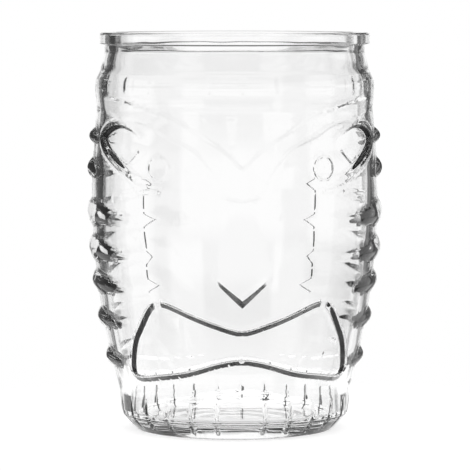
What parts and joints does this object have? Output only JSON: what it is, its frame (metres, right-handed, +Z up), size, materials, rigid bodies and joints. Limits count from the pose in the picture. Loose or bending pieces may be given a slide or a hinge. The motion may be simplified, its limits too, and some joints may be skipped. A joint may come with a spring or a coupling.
{
  "type": "tiki tumbler",
  "caption": "Clear glass barrel tumbler with a stylised tiki face on the front, ribbed sides, a grooved headband, a rolled rim and a fluted base",
  "frame": {"origin": "Centre of the ring that the tumbler stands on, on the table's surface", "axes": "+Z is up along the tumbler's axis, and the face looks along -Y"},
  "size_m": [0.0894, 0.087, 0.12],
  "materials": {
    "clear_glass": "fire-polished, clear and colourless"
  },
  "bodies": {
    "root": {"rim_bead": "clear_glass", "neck": "clear_glass", "headband": "clear_glass", "barrel_wall": "clear_glass", "base_band": "clear_glass", "base_core": "clear_glass", "chin": "clear_glass", "brow_left": "clear_glass", "brow_right": "clear_glass", "eye_left": "clear_glass", "eye_right": "clear_glass", "pupil_left": "clear_glass", "pupil_right": "clear_glass", "nose": "clear_glass", "mouth_line": "clear_glass", "teeth": "clear_glass", "side_ribs_left": "clear_glass", "side_ribs_right": "clear_glass"}
  },
  "joints": []
}
